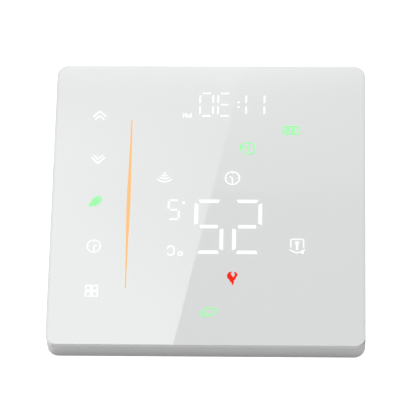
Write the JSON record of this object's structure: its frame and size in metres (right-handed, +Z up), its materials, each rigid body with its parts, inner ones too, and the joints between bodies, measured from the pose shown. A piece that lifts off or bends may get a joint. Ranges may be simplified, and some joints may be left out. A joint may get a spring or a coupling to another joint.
{
  "type": "wall thermostat",
  "caption": "Square glass-fronted touch room thermostat on a steel wall bracket, with a lit display and a power unit that sits in a flush wall box.",
  "frame": {"origin": "middle of the wall plane behind the unit, at the centre of the wall-screw patterns", "axes": "+Y into the wall, +X to the right as seen from the front, +Z up"},
  "size_m": [0.086, 0.0329, 0.086],
  "materials": {
    "white_glass": "polished glass, printed white on its back",
    "grey_foam": "foam tape",
    "milky_film": "satin diffuser film",
    "black_mask": "moulded, light-tight",
    "white_window": "lit white",
    "green_window": "lit green",
    "amber_window": "lit amber",
    "spring_steel": "plated spring wire",
    "led_yellow": "phosphor under clear resin",
    "green_board": "solder mask over copper",
    "zinc_screw": "zinc plated",
    "black_chip": "moulded epoxy with tinned leads",
    "dark_board": "dark solder mask",
    "tinned_steel": "tinned sheet",
    "black_plastic": "moulded",
    "cell_steel": "bright nickel-plated steel",
    "contact_brass": "plated brass",
    "white_housing": "fine satin moulding",
    "white_cover": "fine matt moulding",
    "zinc_plate": "zinc-plated pressed steel",
    "white_box": "fine matt moulding",
    "grey_cover": "fine matt moulding",
    "ferrite": "ground ferrite",
    "winding_tape": "polyester tape over the winding",
    "capacitor_sleeve": "shrink sleeve with aluminium top",
    "yellow_box": "moulded box",
    "blue_ceramic": "dipped epoxy",
    "brown_plastic": "moulded",
    "copper_wire": "enamelled copper windings",
    "blue_case": "moulded case",
    "relay_steel": "plated soft iron",
    "grey_block": "glass-filled moulding",
    "terminal_steel": "zinc plated",
    "cage_steel": "zinc-plated cage"
  },
  "bodies": {
    "wall_base": {"mounting_bracket": "zinc_plate", "bracket_screws": "zinc_screw", "rear_box": "white_box", "box_cover": "grey_cover", "power_board": "green_board", "header_base": "black_plastic", "header_pins": "contact_brass", "transformer_core": "ferrite", "transformer_winding": "winding_tape", "capacitors": "capacitor_sleeve", "safety_capacitor": "yellow_box", "varistor": "blue_ceramic", "fuse": "brown_plastic", "choke": "copper_wire", "relay_base": "black_plastic", "relay_case": "blue_case", "relay_coil": "copper_wire", "relay_yoke": "relay_steel", "relay_contact": "contact_brass", "terminal_block": "grey_block", "contact_bars": "contact_brass"},
    "control_unit": {"glass_panel": "white_glass", "adhesive_tape": "grey_foam", "diffuser_film": "milky_film", "light_mask": "black_mask", "digit_windows": "white_window", "clock_windows": "white_window", "icon_windows": "green_window", "light_bar": "amber_window", "touch_springs": "spring_steel", "leds": "led_yellow", "display_board": "green_board", "board_screws": "zinc_screw", "microcontroller": "black_chip", "driver_chips": "black_chip", "network_board": "dark_board", "network_shield": "tinned_steel", "buzzer": "black_plastic", "coin_cell": "cell_steel", "cell_clip": "contact_brass", "temperature_sensor": "black_chip", "header_socket": "black_plastic", "front_housing": "white_housing", "rear_cover": "white_cover", "cover_screws": "zinc_screw"},
    "armature": {"relay_armature": "relay_steel"},
    "screw_1": {"clamp_screw_1": "terminal_steel"},
    "cage_1": {"clamp_cage_1": "cage_steel"},
    "screw_2": {"clamp_screw_2": "terminal_steel"},
    "cage_2": {"clamp_cage_2": "cage_steel"},
    "screw_3": {"clamp_screw_3": "terminal_steel"},
    "cage_3": {"clamp_cage_3": "cage_steel"},
    "screw_4": {"clamp_screw_4": "terminal_steel"},
    "cage_4": {"clamp_cage_4": "cage_steel"},
    "screw_5": {"clamp_screw_5": "terminal_steel"},
    "cage_5": {"clamp_cage_5": "cage_steel"},
    "screw_6": {"clamp_screw_6": "terminal_steel"},
    "cage_6": {"clamp_cage_6": "cage_steel"}
  },
  "joints": [
    {"name": "unit_pull_off", "type": "slide", "parent": "wall_base", "child": "control_unit", "axis": [0, -1, 0], "range_m": [0, 0.03]},
    {"name": "relay_rock", "type": "hinge", "parent": "wall_base", "child": "armature", "pos_m": [0.0144, 0.01765, -0.0044], "axis": [0, 0, 1], "range_deg": [0, 3.5], "stiffness_Nm_per_rad": 0.02, "springref_deg": -5.73},
    {"name": "cage_rise_1", "type": "slide", "parent": "wall_base", "child": "cage_1", "axis": [0, 1, 0], "range_m": [0, 0.002]},
    {"name": "screw_turn_1", "type": "hinge", "parent": "wall_base", "child": "screw_1", "pos_m": [-0.016, 0.0209, -0.0172], "axis": [0, -1, 0], "range_deg": [0, 1441]},
    {"name": "cage_rise_2", "type": "slide", "parent": "wall_base", "child": "cage_2", "axis": [0, 1, 0], "range_m": [0, 0.002]},
    {"name": "screw_turn_2", "type": "hinge", "parent": "wall_base", "child": "screw_2", "pos_m": [-0.0096, 0.0209, -0.0172], "axis": [0, -1, 0], "range_deg": [0, 1441]},
    {"name": "cage_rise_3", "type": "slide", "parent": "wall_base", "child": "cage_3", "axis": [0, 1, 0], "range_m": [0, 0.002]},
    {"name": "screw_turn_3", "type": "hinge", "parent": "wall_base", "child": "screw_3", "pos_m": [-0.0032, 0.0209, -0.0172], "axis": [0, -1, 0], "range_deg": [0, 1441]},
    {"name": "cage_rise_4", "type": "slide", "parent": "wall_base", "child": "cage_4", "axis": [0, 1, 0], "range_m": [0, 0.002]},
    {"name": "screw_turn_4", "type": "hinge", "parent": "wall_base", "child": "screw_4", "pos_m": [0.0032, 0.0209, -0.0172], "axis": [0, -1, 0], "range_deg": [0, 1441]},
    {"name": "cage_rise_5", "type": "slide", "parent": "wall_base", "child": "cage_5", "axis": [0, 1, 0], "range_m": [0, 0.002]},
    {"name": "screw_turn_5", "type": "hinge", "parent": "wall_base", "child": "screw_5", "pos_m": [0.0096, 0.0209, -0.0172], "axis": [0, -1, 0], "range_deg": [0, 1441]},
    {"name": "cage_rise_6", "type": "slide", "parent": "wall_base", "child": "cage_6", "axis": [0, 1, 0], "range_m": [0, 0.002]},
    {"name": "screw_turn_6", "type": "hinge", "parent": "wall_base", "child": "screw_6", "pos_m": [0.016, 0.0209, -0.0172], "axis": [0, -1, 0], "range_deg": [0, 1441]}
  ],
  "couplings": [
    {"joint": "screw_turn_1", "follows": "cage_rise_1", "rad_per_m": 12566},
    {"joint": "screw_turn_2", "follows": "cage_rise_2", "rad_per_m": 12566},
    {"joint": "screw_turn_3", "follows": "cage_rise_3", "rad_per_m": 12566},
    {"joint": "screw_turn_4", "follows": "cage_rise_4", "rad_per_m": 12566},
    {"joint": "screw_turn_5", "follows": "cage_rise_5", "rad_per_m": 12566},
    {"joint": "screw_turn_6", "follows": "cage_rise_6", "rad_per_m": 12566}
  ]
}
